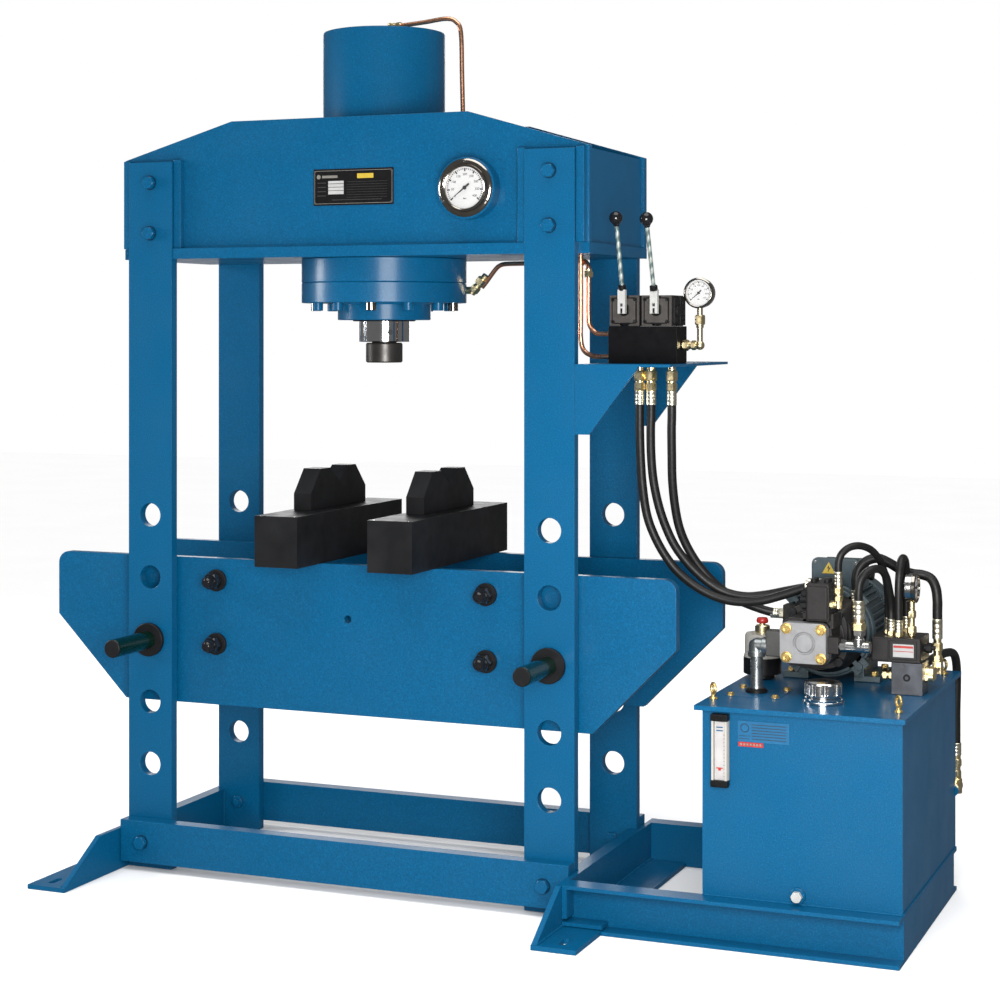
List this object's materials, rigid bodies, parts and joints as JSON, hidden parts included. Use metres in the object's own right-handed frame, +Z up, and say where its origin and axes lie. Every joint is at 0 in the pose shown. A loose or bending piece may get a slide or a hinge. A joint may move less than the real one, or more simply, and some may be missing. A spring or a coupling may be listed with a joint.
{
  "type": "hydraulic shop press",
  "caption": "Four-post hydraulic shop press with a fixed top cylinder, a height-adjustable bed on pins, V-blocks on square bars, hand valves on a side shelf and a motor-driven power unit.",
  "frame": {"origin": "middle of the footprint on the floor", "axes": "+X to the right as seen from the front, where the power unit stands, +Y to the rear, +Z up"},
  "size_m": [2.126, 0.861, 2.046],
  "materials": {
    "blue_paint": "hammered semi-gloss",
    "chrome_rod": "polished",
    "black_steel": "black oxide",
    "green_pin": "dark green gloss",
    "copper_pipe": "bright drawn copper",
    "gauge_steel": "satin",
    "needle_black": "matte",
    "manifold_black": "semi-gloss",
    "valve_iron": "bronze-grey phosphate",
    "lever_zinc": "zinc plated",
    "motor_grey": "satin",
    "pump_iron": "painted cast",
    "galvanised": "zinc plated",
    "cream_plastic": "matte",
    "rubber_hose": "matte"
  },
  "bodies": {
    "frame": {"leg_front_left": "blue_paint", "leg_front_right": "blue_paint", "leg_rear_left": "blue_paint", "leg_rear_right": "blue_paint", "base_bar_front": "blue_paint", "base_bar_rear": "blue_paint", "side_rail_left": "blue_paint", "side_rail_right": "blue_paint", "head_web_front": "blue_paint", "head_web_rear": "blue_paint", "head_floor": "blue_paint", "cylinder_barrel": "blue_paint", "cylinder_gland": "blue_paint", "pipe_barrel": "copper_pipe", "pipe_gland": "copper_pipe", "head_gauge": "gauge_steel", "valve_shelf": "blue_paint", "manifold": "manifold_black", "valve_left": "valve_iron", "valve_right": "valve_iron", "valve_gauge": "gauge_steel", "bed_plate_front": "blue_paint", "bed_plate_rear": "blue_paint", "tie_bolt_1": "black_steel", "tie_bolt_2": "black_steel", "tie_bolt_3": "black_steel", "tie_bolt_4": "black_steel", "unit_frame": "blue_paint", "tank": "blue_paint", "tank_lid": "blue_paint", "level_gauge": "cream_plastic", "motor_body": "motor_grey", "pump": "pump_iron", "suction_pipe": "galvanised", "filter_canister": "cream_plastic", "relief_valve": "pump_iron", "unit_gauge": "gauge_steel", "hose_left": "rubber_hose", "hose_middle": "rubber_hose", "hose_right": "rubber_hose", "hose_pilot": "rubber_hose", "hose_delivery": "rubber_hose", "hose_loop": "rubber_hose", "hose_drain": "rubber_hose", "hose_return": "rubber_hose"},
    "ram_body": {"ram": "chrome_rod", "ram_nose": "black_steel"},
    "lever_left_body": {"lever_left": "lever_zinc"},
    "lever_right_body": {"lever_right": "lever_zinc"},
    "head_needle_body": {"head_gauge_needle": "needle_black"},
    "valve_needle_body": {"valve_gauge_needle": "needle_black"},
    "unit_needle_body": {"unit_gauge_needle": "needle_black"},
    "pin_left_body": {"bed_pin_left": "green_pin"},
    "pin_right_body": {"bed_pin_right": "green_pin"},
    "support_left_body": {"support_bar_left": "black_steel"},
    "support_right_body": {"support_bar_right": "black_steel"},
    "vee_left_body": {"vee_block_left": "black_steel"},
    "vee_right_body": {"vee_block_right": "black_steel"},
    "cap_body": {"filler_cap": "galvanised"},
    "rotor_body": {"motor_rotor": "black_steel"}
  },
  "joints": [
    {"name": "ram_slide", "type": "slide", "parent": "frame", "child": "ram_body", "axis": [0, 0, -1], "range_m": [0, 0.3]},
    {"name": "lever_left_hinge", "type": "hinge", "parent": "frame", "child": "lever_left_body", "pos_m": [0.386, -0.0295, 1.318], "axis": [1, 0, 0], "range_deg": [-15, 15], "stiffness_Nm_per_rad": 6},
    {"name": "lever_right_hinge", "type": "hinge", "parent": "frame", "child": "lever_right_body", "pos_m": [0.462, -0.0295, 1.318], "axis": [1, 0, 0], "range_deg": [-15, 15], "stiffness_Nm_per_rad": 6},
    {"name": "head_needle_hinge", "type": "hinge", "parent": "frame", "child": "head_needle_body", "pos_m": [0.055, -0.1815, 1.618], "axis": [0, 1, 0], "range_deg": [0, 270], "stiffness_Nm_per_rad": 0.002},
    {"name": "valve_needle_hinge", "type": "hinge", "parent": "frame", "child": "valve_needle_body", "pos_m": [0.553, -0.0155, 1.38], "axis": [0, 1, 0], "range_deg": [0, 270], "stiffness_Nm_per_rad": 0.001},
    {"name": "unit_needle_hinge", "type": "hinge", "parent": "frame", "child": "unit_needle_body", "pos_m": [1.027, 0.0675, 0.734], "axis": [-1, 0, 0], "range_deg": [0, 270], "stiffness_Nm_per_rad": 0.001},
    {"name": "pin_left_slide", "type": "slide", "parent": "frame", "child": "pin_left_body", "axis": [0, -1, 0], "range_m": [0, 0.44]},
    {"name": "pin_right_slide", "type": "slide", "parent": "frame", "child": "pin_right_body", "axis": [0, -1, 0], "range_m": [0, 0.44]},
    {"name": "support_left_slide", "type": "slide", "parent": "frame", "child": "support_left_body", "axis": [1, 0, 0], "range_m": [-0.25, 0.05]},
    {"name": "support_right_slide", "type": "slide", "parent": "frame", "child": "support_right_body", "axis": [-1, 0, 0], "range_m": [-0.22, 0.05]},
    {"name": "vee_left_slide", "type": "slide", "parent": "support_left_body", "child": "vee_left_body", "axis": [0, 1, 0], "range_m": [-0.08, 0.08]},
    {"name": "vee_right_slide", "type": "slide", "parent": "support_right_body", "child": "vee_right_body", "axis": [0, 1, 0], "range_m": [-0.08, 0.08]},
    {"name": "filler_cap_turn", "type": "hinge", "parent": "frame", "child": "cap_body", "pos_m": [0.863, -0.1235, 0.51], "axis": [0, 0, 1], "range_deg": [0, 90]},
    {"name": "motor_spin", "type": "hinge", "parent": "frame", "child": "rotor_body", "pos_m": [0.811, 0.3875, 0.621], "axis": [0, 1, 0], "continuous": true}
  ]
}
